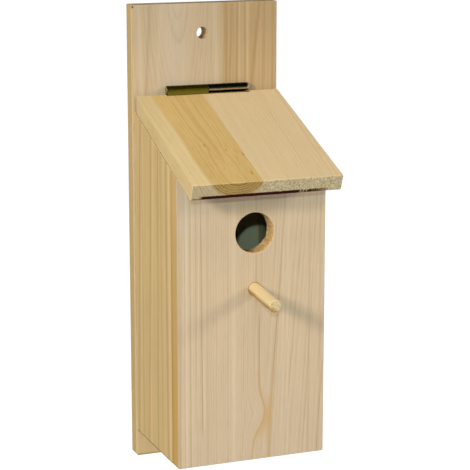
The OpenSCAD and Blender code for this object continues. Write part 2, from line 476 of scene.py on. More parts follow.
class Grain:
    """Places on a board in millimetres: along the grain, across the face, and through it."""

    def __init__(self, name, origin, along, across, through, seed):
        self.material = bpy.data.materials.new(name)
        start_nodes(self.material)
        self.here = new_node("ShaderNodeTexCoord", {})
        self.seed = seed
        self.axes = (along, across, through)
        self.places = [self.measure(axis, origin) for axis in self.axes]
        self.along, self.across, self.through = self.places
        self.facing_along = calculate("ABSOLUTE", self.facing(0))

    def part(self, output, axis):
        """How much of a place or of the surface's normal lies along an axis."""
        inputs = {0: Field(self.here.outputs[output]), 1: axis}
        node = new_node("ShaderNodeVectorMath", inputs, operation="DOT_PRODUCT")
        return Field(node.outputs["Value"])

    def measure(self, axis, origin):
        """How far a point lies from the origin along that axis, in millimetres."""
        return (self.part("Object", axis) - float(np.dot(origin, axis))) * (1 / mm)

    def facing(self, number):
        """How far the surface faces along the grain's axis 0, 1 or 2, from -1 to 1."""
        return self.part("Normal", self.axes[number])

    def distance_from(self, x, z):
        """How far a point lies from a line along y through that x and z, in millimetres."""
        aside, above = [self.measure(axis, (x, 0, z)) for axis in (RIGHT, UP)]
        return (aside ** 2.0 + above ** 2.0) ** 0.5

    def cells(self, along, across, through, shift=0.0):
        """Coordinates whose unit is that many millimetres in each direction."""
        return together(self.along / along + (self.seed + shift), self.across / across,
                        self.through / through)

    def rings(self, centre, depth, width, sway=2.0):
        """Distance from the pith, and the number of the ring there, as two Fields."""
        wander = noise(self.cells(110, 34, 34), 1.0) * sway + noise(self.cells(46, 9, 9, 5.1), 1.0) * 0.35
        radius = ((self.across - centre) ** 2.0 + (self.through - depth) ** 2.0) ** 0.5 + wander
        return radius, radius / width + self.uneven(radius)

    def uneven(self, radius):
        """Wet and dry years: what to add to a ring's number so that rings differ in width."""
        year = together(radius / 13.0 + self.seed, 0.0, self.seed)
        return noise(year, 1.0) * 1.3


# %% [markdown]
# ### One recipe for all boards
#
# Raw planed softwood has its detail in layers, from large to small: clouds of warmer and paler
# wood, growth rings with a slow pale part and a thin dark one that breaks up here and there,
# the odd streak that is darker or paler than its neighbours, fine fibres along the grain, soft
# speckles, and tiny dark pores. An end is greyer and rougher, because there the fibres are cut
# across. The recipe adds them up, and each board only says where its pith runs and what its
# colours are. Marks that a board has of its own come last, as coats over all of it.

# %% The recipe
HEART_END_DEPTH = 1.7


def relief(height, strength, distance):
    """A bump of that strength. A height of 1 stands for `distance`, in metres."""
    return new_node("ShaderNodeBump", {"Strength": strength, "Distance": distance, "Height": height})


def timber(grain, pale, dark, end_colour, number, ring_depth=0.45, line_depth=0.045,
           line_width=1.5, cloud_depth=0.06, end_depth=0.8, end_grit=0.5, heart=None,
           streaks=(), coats=(), roughness=0.62):
    """Finishes a board's material from its grain, its ring numbers and its colours.

    The dark part of a ring is the cube of how far one is through it, so it rises slowly and
    ends at once. Each ring gets its own strength by a throw of dice. A heart is (its share,
    pale, dark, pale end, dark end), and a streak is (place across, lean, width, depth, colour).
    """
    through_ring = calculate("FRACT", number)
    strength = dice(calculate("FLOOR", number)) * 0.85 + 0.15
    broken = noise(grain.cells(15, 1.1, 1.1, 23.9), 2.0, 0.7) * 1.3 + 1.0
    late = (through_ring ** 3.0) * smooth(1.0, 0.90, through_ring) * strength * broken
    colour = blend(pale, dark, late * ring_depth)
    end_colour = blend(end_colour, dark, late * end_depth)
    if heart is not None:
        share, rich, rich_dark, rich_end, rich_end_dark = heart
        colour = blend(colour, blend(rich, rich_dark, late * ring_depth), share)
        rich_end = blend(rich_end, rich_end_dark, late * end_depth * HEART_END_DEPTH)
        end_colour = blend(end_colour, rich_end, share)
    for place, lean, width, depth, stain in streaks:
        where = grain.along * lean + place if lean else place
        colour = blend(colour, stain, bell(grain.across, where, width) * depth)
    end = smooth(0.72, 0.92, grain.facing_along)
    colour = blend(colour, end_colour, end)

    fibre = noise(grain.cells(26, 0.6, 0.6, 2.3), 3.0, 0.7)
    line = noise(grain.cells(62, line_width, line_width, 7.7), 4.0, 0.75)
    cloud = noise(grain.cells(70, 20, 20, 11.9), 2.0, 0.5)
    speckle = noise(grain.cells(11, 1.3, 1.3, 6.1), 2.0, 0.7)
    grit = noise(grain.cells(1.6, 1.3, 1.3, 3.1), 3.0, 0.8)
    pore = smooth(0.60, 0.80, noise(grain.cells(5.5, 0.5, 0.5, 17.3), 2.0, 0.6))
    on_face = (fibre * 0.07 + speckle * 0.06 + line * line_depth) * (1.0 - end)
    shade = 1.0 + cloud * cloud_depth + on_face + grit * (0.03 + end * end_grit) - pore * 0.12
    height = late * 0.35 + fibre * 0.55 + grit * (0.15 + end * 0.9) - pore * 0.8
    finish_nodes(new_node("ShaderNodeBsdfPrincipled", {
        "Base Color": paint(scaled(colour, shade), coats),
        "Roughness": roughness + fibre * 0.06 + end * 0.2,
        "Specular IOR Level": 0.10,
        "Normal": relief(height, 0.55, 0.00016),
    }))
    return grain.material


# %% [markdown]
# ## Back board
#
# The back board is one plank, planed on both faces and sanded just enough to break its edges.
# It has the hanging hole near its upper end, and four countersunk holes at the back for the
# screws that hold the side panels. A box primitive with holes cut by a Boolean would do, but it
# leaves long thin triangles that shade badly once the edges are rounded.
#
# Here each face is a lattice of quads. A lattice cell that holds a hole is left out, and one
# grid takes its place. It runs from the cell's square border inwards to the round rim, down the
# wall of the hole, and out again to the square border on the other side. The rim of the
# board is a grid too: the border of the lattice, carried round a quarter circle, along the
# edge, and round a second quarter circle.

# %% Lattice
CELL_PARTS = 14
CORNER_STEPS = 4
LATTICE_STEP = 9 * mm


def lattice_lines(low, high, cells):
    """Sorted lines from low to high. Each cell (centre, half) is cut into CELL_PARTS parts."""
    lines, here = [], low
    for centre, half in sorted(cells):
        parts = max(1, round((centre - half - here) / LATTICE_STEP))
        lines += [np.linspace(here, centre - half, parts + 1)[:-1],
                  np.linspace(centre - half, centre + half, CELL_PARTS + 1)[:-1]]
        here = centre + half
    parts = max(1, round((high - here) / LATTICE_STEP))
    return np.concatenate(lines + [np.linspace(here, high, parts + 1)])


def border(columns, levels):
    """The lattice's border as a closed loop, and at each point the direction outwards.

    The corners are repeated while their direction turns by a quarter, which rounds them.
    """
    turn = np.linspace(0, math.pi / 2, CORNER_STEPS + 1)
    sides = [(columns, np.full(len(columns), levels[0]), -math.pi / 2),
             (np.full(len(levels), columns[-1]), levels, 0.0),
             (columns[::-1], np.full(len(columns), levels[-1]), math.pi / 2),
             (np.full(len(levels), columns[0]), levels[::-1], math.pi)]
    places, angles = [], []
    for across, up, angle in sides:
        places += [np.column_stack([across, up]),
                   np.repeat([[across[-1], up[-1]]], len(turn) - 2, axis=0)]
        angles += [np.full(len(across), angle), angle + turn[1:-1]]
    places, angles = np.concatenate(places), np.concatenate(angles)
    places, angles = np.vstack([places, places[:1]]), np.append(angles, angles[0])
    return places, np.column_stack([np.cos(angles), np.sin(angles)])


sample = lattice_lines(0, 50 * mm, [(20 * mm, 6 * mm)])
print("a lattice of 50 mm with one hole in it has", len(sample), "lines")

# %% Worn edges
EDGE_STEPS = 5


def worn(length, radius, seed):
    """A radius that changes a little along an edge, as hand sanding leaves it."""
    turn = 2 * math.pi * np.arange(length) / (length - 1)
    wave = np.sin(5 * turn + seed) + 0.7 * np.sin(11 * turn + 2.3 * seed) + 0.5 * np.sin(23 * turn)
    return radius * (0.78 + 0.10 * wave)


def quarter(radius, reach, flip=False):
    """A quarter circle as (outwards, inwards) rows, after a flat start where it is narrow."""
    angle = np.linspace(0, math.pi / 2, EDGE_STEPS + 1)[:, None]
    out = np.vstack([np.zeros_like(radius)[None], reach - radius + radius * np.sin(angle)])
    deep = np.vstack([np.zeros_like(radius)[None], radius * (1 - np.cos(angle))])
    return (out[::-1], deep[::-1]) if flip else (out, deep)


print("worn edges of 1 mm, in mm:", (worn(6, 1 * mm, 0.0) / mm).round(2))

# %% Holes
RINGS_BETWEEN = (0.35, 0.7)


def rounded_wall(radius, front, back, edge):
    """Rows (radius, y) of a plain round hole whose two rims are rounded with radius `edge`."""
    angle = np.linspace(0, math.pi / 2, 4)
    mouth = [(radius + edge * (1 - math.sin(t)), front + edge * (1 - math.cos(t))) for t in angle]
    end = [(r, back - (y - front)) for r, y in mouth[::-1]]
    return mouth + end


def hole_grid(across, up, centre, rows, back):
    """Loops from the border of a lattice cell in to the hole's rim, and down its wall.

    A loop at a share s between them is (1 - s) x square + s x circle. Where the hole goes
    through to y = back, as many loops lead out to the same square there. Else back is None.
    """
    square = np.concatenate([
        np.column_stack([across[:-1], np.full(CELL_PARTS, up[0])]),
        np.column_stack([np.full(CELL_PARTS, across[-1]), up[:-1]]),
        np.column_stack([across[:0:-1], np.full(CELL_PARTS, up[-1])]),
        np.column_stack([np.full(CELL_PARTS, across[0]), up[:0:-1]])])
    square = np.vstack([square, square[:1]]) - centre
    circle = square / np.linalg.norm(square, axis=1, keepdims=True)
    loops = [(square, rows[0][1])]
    loops += [((1 - s) * square + s * circle * rows[0][0], rows[0][1]) for s in RINGS_BETWEEN]
    loops += [(circle * radius, y) for radius, y in rows]
    if back is not None:
        loops += [((1 - s) * square + s * circle * rows[-1][0], back) for s in RINGS_BETWEEN[::-1]]
        loops.append((square, back))
    return np.array([np.insert(loop + centre, 1, y, axis=1) for loop, y in loops])


print("a rounded hole of 5 mm has", len(rounded_wall(5 * mm, 0, 15 * mm, 0.5 * mm)), "loops in its wall")

# %% Plates


def plate(low, high, holes, edge, seed):
    """Grids of a plate in x and z, from y = low[1] at its front to y = high[1] at its back.

    A hole is (x, z, half cell, rows, through), where rows is a list of (radius, y). It starts at
    the front if it goes through or if its first y is the front's, and else at the back.
    """
    columns = lattice_lines(low[0] + edge, high[0] - edge, {(hole[0], hole[2]) for hole in holes})
    levels = lattice_lines(low[2] + edge, high[2] - edge, {(hole[1], hole[2]) for hole in holes})
    front, back = low[1], high[1]
    keep = {side: np.ones((len(levels) - 1, len(columns) - 1), bool) for side in (front, back)}
    grids = []
    for x, z, half, rows, through in holes:
        first = np.searchsorted(columns, x - half - MERGE_DISTANCE)
        lowest = np.searchsorted(levels, z - half - MERGE_DISTANCE)
        for side in ((front, back) if through else (rows[0][1],)):
            keep[side][lowest:lowest + CELL_PARTS, first:first + CELL_PARTS] = False
        across, up = columns[first:first + CELL_PARTS + 1], levels[lowest:lowest + CELL_PARTS + 1]
        grids.append(hole_grid(across, up, (x, z), rows, back if through else None))
    for y, mask in keep.items():
        flat = np.stack(np.broadcast_arrays(columns[None], y, levels[:, None]), -1)
        grids.append((flat, mask))
    return grids + [plate_rim(columns, levels, front, back, edge, seed)]


def plate_rim(columns, levels, front, back, edge, seed):
    """The rim: the lattice's border, carried round a quarter circle at the front and the back."""
    places, outwards = border(columns, levels)
    radius = worn(len(places), edge, seed)
    out_front, deep_front = quarter(radius, edge)
    out_back, deep_back = quarter(radius, edge, flip=True)
    out = np.vstack([out_front, out_back])[..., None]
    y = np.vstack([front + deep_front, back - deep_back])
    rim = places[None] + out * outwards[None]
    return np.stack([rim[..., 0], y, rim[..., 1]], -1)


# %% Holes of the back board
HANG_CELL = 7.5 * mm
SCREW_CELL = 6 * mm
SCREW_HEAD = 3.5 * mm
SCREW_SHANK = 1.75 * mm
SCREW_SUNK = 0.25 * mm
POCKET_DEPTH = 4 * mm
SCREW_PLAY = 0.1 * mm
hang_radius = frame["record"]["mounts"][0]["dims"]["r_mm"] * mm
screws_low, screws_high = extent("back_screws")
screw_xs = [screws_low[0] + SCREW_HEAD, screws_high[0] - SCREW_HEAD]
screw_zs = [screws_low[2] + SCREW_HEAD, screws_high[2] - SCREW_HEAD]
pocket = [(SCREW_HEAD + 0.25 * mm, 0), (SCREW_HEAD + SCREW_PLAY, SCREW_SUNK),
          (SCREW_SHANK + SCREW_PLAY, SCREW_SUNK + (SCREW_HEAD - SCREW_SHANK)),
          (SCREW_SHANK + SCREW_PLAY, POCKET_DEPTH), (0.0, POCKET_DEPTH)]
pocket_rows = [(radius, board_high[1] - depth) for radius, depth in pocket]
hang_rows = rounded_wall(hang_radius, board_low[1], board_high[1], 0.35 * mm)
board_holes = [(0.0, 0.0, HANG_CELL, hang_rows, True)]
board_holes += [(x, z, SCREW_CELL, pocket_rows, False) for x in screw_xs for z in screw_zs]
print("hanging hole radius in mm", hang_radius / mm)
print("screws at x", np.round(screw_xs, 4), "z", np.round(screw_zs, 4))

# %% [markdown]
# The back board's pith lies some way behind its front face and comes closer towards the top,
# so on the upper part the rings open upwards like nested letters V. Right of a line
# beside the hanging hole the wood is golden, fine and straight, and a few darker streaks run
# through it. The edges of the board look more golden than its face, and a pinhead knot sits at
# its left edge. What lies inside the box is painted paler and greyer than the rest: painted
# light that stands in for the light falling in through the entrance.

# %% Back board


def board_wood():
    """Pale wood with V-shaped rings round x = -20, golden to the right of about x = 17."""
    grain = Grain("back_plank_wood", (0, board_low[1], 0), UP, RIGHT, BACK, 3.0)
    along, across, through = grain.places
    _, number = grain.rings(-20.0 - along * 0.02, 9.0 - along * 0.16, 2.9)
    beside = across - (17.0 - along * 0.01)
    golden = smooth(-5.0, 3.0, beside + noise(grain.cells(90, 5, 5, 1.3), 2.0) * 2.0)
    heart = (golden, (192, 160, 116), (146, 108, 60), (176, 146, 100), (130, 98, 54))
    inside = span(-314.0, -311.0, -72.0, -68.0, along) * span(-44.0, -42.0, 48.0, 50.0, across)
    edge_colour = blend((206, 166, 104), (196, 168, 108), smooth(7.0, 12.0, through))
    edge_colour = blend(edge_colour, (238, 208, 154), bell(through, 2.2, 1.1))
    sides = calculate("ABSOLUTE", grain.facing(1))
    knot = grain.distance_from(board_low[0] + 0.2 * mm, 0.0223)
    # painted light: paler and greyer inside the box, for the light that falls in through the entrance
    coats = [((200, 192, 162), inside * smooth(1.2, 0.6, through) * 0.8),
             # painted shade: the board is darker towards its top, where less lamp light reaches
             (None, 1.0 - smooth(-60.0, 20.0, along) * 0.16),
             ((230, 191, 134), smooth(-290.0, -335.0, along) * 0.6),
             ((176, 134, 60), smooth(-347.6, -349.2, along) * 0.7),
             (edge_colour, smooth(0.6, 0.95, sides) * 0.9),
             ((70, 42, 18), smooth(1.3, 0.6, knot) * smooth(1.6, 1.0, through) * 0.85)]
    brown, cream = (152, 110, 58), (216, 192, 156)
    streaks = [(47.0, 0.10, 1.3, 0.36, brown), (43.5, 0.06, 3.0, 0.18, (168, 128, 74)),
               (20.6, 0, 1.1, 0.34, brown), (25.0, 0.03, 0.9, 0.24, brown),
               (30.0, 0.02, 0.8, 0.26, brown), (37.0, -0.02, 0.8, 0.24, brown),
               (53.5, 0.02, 1.0, 0.20, brown), (61.2, 0, 1.3, 0.26, brown),
               (10.8, -0.02, 1.8, 0.32, cream), (32.0, 0, 0.8, 0.30, cream),
               (39.2, 0, 1.2, 0.32, cream), (-52.8, -0.03, 1.7, 0.42, cream),
               (-45.5, 0.06, 1.0, 0.22, brown), (-24.0, 0, 13.0, 0.24, (214, 202, 184)),
               (-36.0, 0.05, 1.6, 0.26, cream)]
    return timber(grain, (201, 174, 140), (154, 120, 80), (182, 154, 112), number,
                  ring_depth=0.36, line_depth=0.10, line_width=2.0, cloud_depth=0.07,
                  heart=heart, streaks=streaks, coats=coats)


board_grids = plate(board_low, board_high, board_holes, 0.9 * mm, 1.0)
finish_piece("back_plank", board_grids, "box", "back_board", board_wood())

# %% [markdown]
# ## Front panel
#
# The front panel closes the box over the front edges of the side panels. It has the round
# entrance and a shallow socket for the perch. It is the same kind of plate, with one
# difference: its upper edge slopes with the roof, so its back face is taller than its front.
# The plate is made upright first, and everything above the entrance is then stretched
# upwards, more so towards the back.

# %% Places on the front panel
PITCH = math.radians(21)
ENTRANCE_RADIUS = 16 * mm
PERCH_RADIUS = 5 * mm
PERCH_REACH = 42 * mm
PERCH_TILT = math.radians(5.5)


def leaning(angle):
    """Two unit vectors: one forwards and down by that angle, and one square to it, upwards."""
    return ((0, -math.cos(angle), -math.sin(angle)), (0, -math.sin(angle), math.cos(angle)))


PERCH_OUT, PERCH_UP = leaning(PERCH_TILT)
perch_low, perch_high = extent("perch")
perch_x = round((perch_low[0] + perch_high[0]) / 2, 5)
panel_front, panel_back = panel_low[1], panel_high[1]
panel_top_front = panel_high[2] - (panel_back - panel_front) * math.tan(PITCH)
openings = {opening["name"]: opening["box_m"] for opening in frame["record"]["physics"]["openings"]}
entrance_x, _, entrance_z = np.mean(openings["entrance_hole"], axis=0).round(5)
perch_tip_y = panel_front + PERCH_REACH * PERCH_OUT[1] + PERCH_RADIUS * PERCH_UP[1]
perch_z = perch_low[2] - PERCH_REACH * PERCH_OUT[2] + PERCH_RADIUS * PERCH_UP[2]
print("entrance at x", round(entrance_x, 4), "z", round(entrance_z, 4))
print("perch at x", round(perch_x, 4), "z", round(perch_z, 4))
print("perch tip y from the frame", round(perch_low[1], 5), "and worked out", round(perch_tip_y, 5))

# %% [markdown]
# A hole saw leaves a clean rim where it goes in and a torn one where it comes out. So the back
# rim of the entrance is pushed outwards where splinters came off. Noise would do that too, but
# three sine waves over the angle are enough for a rim of 32 mm, and they meet where they began.

# %% Shape of the front panel
ENTRANCE_CELL = 20 * mm
SOCKET_DEPTH_SHOWN = 2 * mm
TEAR_DEPTH = 1.6 * mm
TEAR_REACH = 2 * mm
STRETCH_START = 22 * mm


def tear_rim(points):
    """Moves the back rim of the entrance outwards by up to 0.8 mm, where fibres tore out.

    The share is what stands above a level in three sine waves over the angle. It fades to
    nothing over TEAR_DEPTH into the hole and TEAR_REACH across the back face.
    """
    across, up = points[..., 0] - entrance_x, points[..., 2] - entrance_z
    radius, angle = np.hypot(across, up), np.arctan2(up, across)
    torn = np.sin(13 * angle + 1) + 0.9 * np.sin(23 * angle) + 0.6 * np.sin(5 * angle + 4)
    torn = 0.8 * np.clip(torn * 0.8 - 0.2, 0, 1)
    torn *= np.clip((points[..., 1] - panel_back) / TEAR_DEPTH + 1, 0, 1)
    torn *= np.clip((ENTRANCE_RADIUS + TEAR_REACH - radius) / TEAR_REACH, 0, 1)
    stretch = 1 + torn * mm / np.maximum(radius, mm)
    points[..., 0] = entrance_x + across * stretch
    points[..., 2] = entrance_z + up * stretch


def panel_grids():
    """The plate, with what lies above the entrance stretched to the sloping upper edge."""
    bore, floor_y = PERCH_RADIUS + 0.1 * mm, panel_front + SOCKET_DEPTH_SHOWN
    socket = [(PERCH_RADIUS + 0.35 * mm, panel_front), (bore, panel_front + 0.3 * mm),
              (bore, floor_y), (0.0, floor_y)]
    wall = rounded_wall(ENTRANCE_RADIUS, panel_front, panel_back, 0.5 * mm)
    wall.insert(len(wall) // 2, (ENTRANCE_RADIUS, panel_back - TEAR_DEPTH))
    holes = [(entrance_x, entrance_z, ENTRANCE_CELL, wall, True),
             (perch_x, perch_z, ENTRANCE_CELL, socket, False)]
    top = np.array([panel_high[0], panel_back, panel_top_front])
    grids = plate(panel_low, top, holes, 0.9 * mm, 2.0)
    start = entrance_z + STRETCH_START
    for grid in grids:
        points = grid[0] if isinstance(grid, tuple) else grid
        rise = (points[..., 1] - panel_front) * math.tan(PITCH)
        share = np.clip((points[..., 2] - start) / (panel_top_front - start), 0, None)
        points[..., 2] += share * rise
        tear_rim(points)
    return grids


front_grids = panel_grids()
print("front panel in", len(front_grids), "grids")

# %% [markdown]
# The panel's wood is pinkish and pale. Two dark rings run down it, pinch together near the
# bottom and turn amber there, and the other rings follow them. So the rings aren't measured from
# a pith here, but from these two lines. The wall of the entrance is rough wood, chipped pale in
# some places and torn dark in others. It is also painted paler near the mouth and darker deeper
# in, with a dark patch at its lower left: painted shade inside the hole.

# %% Lines of the front panel
FIRST_LINE = 8.8
LINE_BROWN = (160, 118, 66)


def right_line(along):
    """Where the panel's long dark line runs: from x = 30 at the top to 17 at the bottom."""
    rise = smooth(-335.0, -100.0, along) * 0.35 + (along + 327.0) / 215.0 * 0.65
    return rise * 13.2 + 16.8


def left_line(along):
    """Where the second line runs: straight, then a bulge towards the first, then away."""
    bulge = bell(along, -289.0, 13.0) * 6.0
    return bulge - smooth(-292.0, -330.0, along) * 9.0 + FIRST_LINE


def line_coats(grain, beside_left, beside_right):
    """A crack with a lit edge, both dark lines, and the orange patches between and beside them."""
    along = grain.along
    crack = grain.across + along * 0.006 + 40.2
    low_down = smooth(-195.0, -225.0, along)
    pinched = smooth(-238.0, -268.0, along)
    amber = blend(LINE_BROWN, (186, 142, 76), pinched)
    strong = 0.26 + smooth(-180.0, -230.0, along) * 0.30
    between = smooth(1.6, 0.2, -beside_left) * smooth(0.8, -0.4, beside_right)
    coats = [(LINE_BROWN, bell(crack, 0.0, 0.5) * smooth(-312.0, -290.0, along) * 0.5),
             ((230, 208, 170), bell(crack, 1.6, 0.5) * span(-302.0, -294.0, -246.0, -232.0, along) * 0.42),
             (amber, bell(beside_right, 0.0, pinched * 0.35 + 0.6) * strong),
             (amber, bell(beside_left, 0.0, pinched * 0.35 + 0.5) * low_down * 0.55),
             ((202, 160, 108), bell(beside_left, 2.4, 2.6) * bell(along, -304.0, 9.0) * 0.45),
             ((202, 160, 108), between * bell(along, -292.0, 13.0) * 0.75)]
    return coats + [(LINE_BROWN, bell(beside_left, place, 0.5) * (1.0 - low_down) * depth)
                    for place, depth in ((-2.4, 0.30), (2.2, 0.25))]


# %% Cut edges and entrance


def edge_coats(grain):
    """The panel's brown left edge, the rough wall of the entrance, and the rim of the socket."""
    along, across, through = grain.places
    low_down = smooth(-100.0, -320.0, along)
    by_joint = blend((190, 148, 76), (182, 134, 58), low_down)
    brown = blend((204, 165, 101), (204, 158, 80), low_down)
    brown = blend(brown, by_joint, bell(through, 13.4, 2.6) * 0.9)
    rough = noise(grain.cells(2.2, 1.9, 1.9, 30.0), 3.0, 0.7)
    chips = smooth(-0.02, 0.16, rough)
    painted_shade_low_left = bell(across, entrance_x / mm - 3.5, 5.0) * smooth(-157.0, -159.0, along)
    # painted light near the mouth of the entrance, and painted shade deeper in and at the lower left
    wall = paint((206, 164, 102), [
        ((236, 206, 150), smooth(5.0, 0.8, through) * 0.6),
        ((240, 218, 174), chips * 0.5),
        ((150, 104, 48), smooth(-0.14, -0.32, rough) * 0.5),
        ((244, 226, 186), bell(through, 14.2, 1.2) * (chips * 0.5 + 0.3)),
        ((84, 66, 22), painted_shade_low_left * bell(through, 10.0, 5.5) * 0.9)])
    return [(brown, smooth(-0.6, -0.95, grain.facing(1)) * smooth(0.5, 2.4, through) * 0.94),
            (wall, smooth(16.55, 16.15, grain.distance_from(entrance_x, entrance_z))),
            ((120, 92, 50), smooth(5.9, 5.1, grain.distance_from(perch_x, perch_z)) * 0.6)]


def painted_eave_light(grain):
    """Painted light just below the roof: the top of the face is painted paler, most on the right, against
    the eave's shadow, with a cooler grey painted shade, most on the left, and a paler grey painted shadow
    just below the eave.
    """
    along, across, through = grain.places
    near_top = smooth(-154.0, -120.0, along)
    face = smooth(0.6, 0.2, through)
    cool = smooth(-10.0, -50.0, across) * 0.8 + smooth(0.0, 40.0, across) * 0.3
    painted_eave_shadow = smooth(-128.0, -113.0, along) * smooth(-56.0, -30.0, across) * face
    # painted light that lifts the top, a cooler grey painted shade, and a paler grey painted shadow just
    # below the eave
    return [(None, near_top * (smooth(-10.0, 50.0, across) * 0.10 + 0.06) + 1.0),
            ((196, 190, 172), near_top * face * cool * 0.3),
            ((208, 198, 178), painted_eave_shadow * 0.36)]


# %% Front panel


def panel_wood():
    """Pinkish pale wood. Its rings follow two dark lines that pinch together near the bottom."""
    grain = Grain("front_plank_wood", (0, panel_front, 0), UP, RIGHT, BACK, 8.0)
    along, across, through = grain.places
    first, second = left_line(along), right_line(along)
    to_right = smooth(-1.0, 1.0, across - (first + second) / 2.0)
    beside_left = across - FIRST_LINE - (first - FIRST_LINE) * bell(across, FIRST_LINE, 9.5)
    beside_right = across - second
    beside = beside_left * (1.0 - to_right) + beside_right * to_right
    wander = noise(grain.cells(120, 30, 30), 1.0) * 0.9 + noise(grain.cells(50, 9, 9, 5.1), 1.0) * 0.25
    width = 2.0 + to_right * 1.5
    number = (beside + through * 0.5 + wander) / width + 50.5 + grain.uneven(across)
    coats = line_coats(grain, beside_left, beside_right) + edge_coats(grain) + painted_eave_light(grain)
    brown, cream = (150, 116, 72), (226, 204, 172)
    streaks = [(-43.8, -0.002, 0.7, 0.22, brown), (-53.5, 0.01, 0.8, 0.18, brown),
               (-58.0, 0, 1.0, 0.25, brown), (-51.2, 0, 0.8, 0.40, cream),
               (-37.5, 0.02, 0.7, 0.25, cream), (-12.2, 0, 1.4, 0.30, cream),
               (28.8, 0, 0.9, 0.22, cream), (33.0, 0, 1.0, 0.25, cream),
               (-48.2, 0, 0.6, 0.24, brown), (-46.4, 0, 0.6, 0.24, cream),
               (-34.2, 0, 0.6, 0.20, brown), (51.0, 0, 0.8, 0.18, brown),
               (60.4, 0, 0.8, 0.18, brown)]
    return timber(grain, (209, 181, 148), (146, 116, 74), (188, 164, 126), number,
                  ring_depth=0.52, line_depth=0.10, line_width=1.6, cloud_depth=0.04,
                  streaks=streaks, coats=coats)


finish_piece("front_plank", front_grids, "box", "front_panel", panel_wood())


# %% [markdown]
# ## Side panels, floor and roof boards
#
# These boards have no holes in their faces, so each is its outline carried along x. The
# outline's corners are rounded, and the ends are rounded by drawing the same outline a little
# smaller just before the board ends. One formula does both: a corner's arc keeps its centre while
# the outline shrinks, so its radius gets smaller by as much as the outline does.

# %% Outlines with rounded corners


def inset_outline(corners, radii, inset, steps=3):
    """A closed outline (points, 2), moved inwards by `inset`, with rounded corners.

    The miter of a corner is where it goes when both its edges move inwards by 1. The centre of its
    arc lies at radius x miter, the arc has radius - inset, and past that the bare corner
    moves along its miter.
    """
    corners = np.asarray(corners, float)
    edge = np.roll(corners, -1, axis=0) - corners
    edge /= np.linalg.norm(edge, axis=1, keepdims=True)
    normal = np.column_stack([-edge[:, 1], edge[:, 0]])
    before = np.roll(normal, 1, axis=0)
    miter = (normal + before) / (1 + (normal * before).sum(axis=1))[:, None]
    first = np.arctan2(-before[:, 1], -before[:, 0])
    turn = np.arctan2(np.cross(before, normal), (before * normal).sum(axis=1))
    angle = first[:, None] + turn[:, None] * np.linspace(0, 1, steps + 1)
    radii = np.asarray(radii, float)[:, None]
    arc = np.maximum(radii - inset, 0)[..., None] * np.stack([np.cos(angle), np.sin(angle)], -1)
    centre = corners[:, None] + np.maximum(radii, inset)[..., None] * miter[:, None]
    return (centre + arc).reshape(-1, 2)


def slab(stations):
    """Grid of a board along x, and its two end faces.

    A station is (x, corners, radii, inset). Rows are closed, and lie in planes of y and z.
    """
    rows = []
    for x, corners, radii, inset in stations:
        outline = inset_outline(corners, radii, inset)
        outline = np.vstack([outline, outline[:1]])
        rows.append(np.insert(outline, 0, x, axis=1))
    grid = np.array(rows)
    return grid, [grid[0, :-1], grid[-1, :-1]]


def end_stations(x, inwards, edge, corners, radii):
    """Stations that round an end at x: the outline grows from inset `edge` to its full size."""
    angle = np.linspace(0, math.pi / 2, EDGE_STEPS + 1)
    return [(x + inwards * edge * (1 - math.cos(t)), corners, radii, edge * (1 - math.sin(t)))
            for t in angle]


unit_square = [(0, 0), (1, 0), (1, 1), (0, 1)]
print("a square rounded at its corners has", len(inset_outline(unit_square, [0.1] * 4, 0)), "points")

# %% Plain boards


def plain_board(low_x, high_x, corners, edge, seed):
    """A board from low_x to high_x with one outline and softly sanded edges all round."""
    middle = np.arange(low_x + 2 * edge, high_x - 2 * edge, LATTICE_STEP)
    wave = [np.full(len(corners), radius) for radius in worn(len(middle) + 2, edge, seed)]
    stations = end_stations(low_x, 1, edge, corners, wave[0])
    stations += [(x, corners, radii, 0.0) for x, radii in zip(middle, wave[1:])]
    stations += end_stations(high_x, -1, edge, corners, wave[-1])[::-1]
    return slab(stations)


# %% [markdown]
# The side panels are cut from yellower wood with long straight stripes. A stripe pattern alone
# looks printed, so here too the stripes are rings: the pith lies far in front of the panel, and
# the panel cuts the rings almost square. Inside the box the wood is paler and greyer.

# %% Side panels


def side_corners(low, high):
    """Outline (y, z) of a side panel: a rectangle whose upper edge slopes with the roof."""
    drop = (high[1] - low[1]) * math.tan(PITCH)
    return [(low[1], low[2]), (high[1], low[2]), (high[1], high[2]), (low[1], high[2] - drop)]


def side_wood(name, face_x, low_z, through, seed):
    """Yellow straight-grained wood, darker and browner in single rings and in a few flames."""
    grain = Grain(name, (face_x, panel_back, 0), UP, BACK, through, seed)
    along, across, through = grain.places
    _, number = grain.rings(along * 0.012 - 62.0, 20.0, 5.6, sway=1.6)
    flame = noise(grain.cells(34, 7, 7, 8.0), 2.0, 0.6)
    coats = [((186, 138, 82), smooth(0.1, 0.7, flame) * bell(across, 46.0, 16.0) * 0.45),
             ((176, 174, 150), smooth(-14.0, -14.6, through) * 0.7),
             # painted shadow: a dark line along the panel's lower edge
             ((110, 74, 34), smooth(1.6, 0.8, along - low_z / mm) * 0.75)]
    brown, cream = (150, 116, 66), (230, 200, 148)
    streaks = [(41.7, -0.042, 1.3, 0.40, brown), (36.8, -0.042, 1.8, 0.34, cream),
               (26.8, -0.02, 1.5, 0.36, brown), (68.0, 0, 1.2, 0.28, brown),
               (62.6, -0.042, 1.6, 0.35, cream), (68.5, -0.042, 1.5, 0.40, brown),
               (15.0, 0, 1.6, 0.25, cream), (22.0, 0, 1.0, 0.25, brown),
               # the strong cream streak 4.2 mm behind the front edge is a painted highlight
               (4.2, 0.004, 1.8, 0.60, cream), (9.5, 0, 1.2, 0.25, brown)]
    return timber(grain, (214, 180, 121), (152, 110, 58), (190, 160, 112), number,
                  ring_depth=0.30, line_depth=0.14, line_width=3.6, cloud_depth=0.07,
                  streaks=streaks, coats=coats)


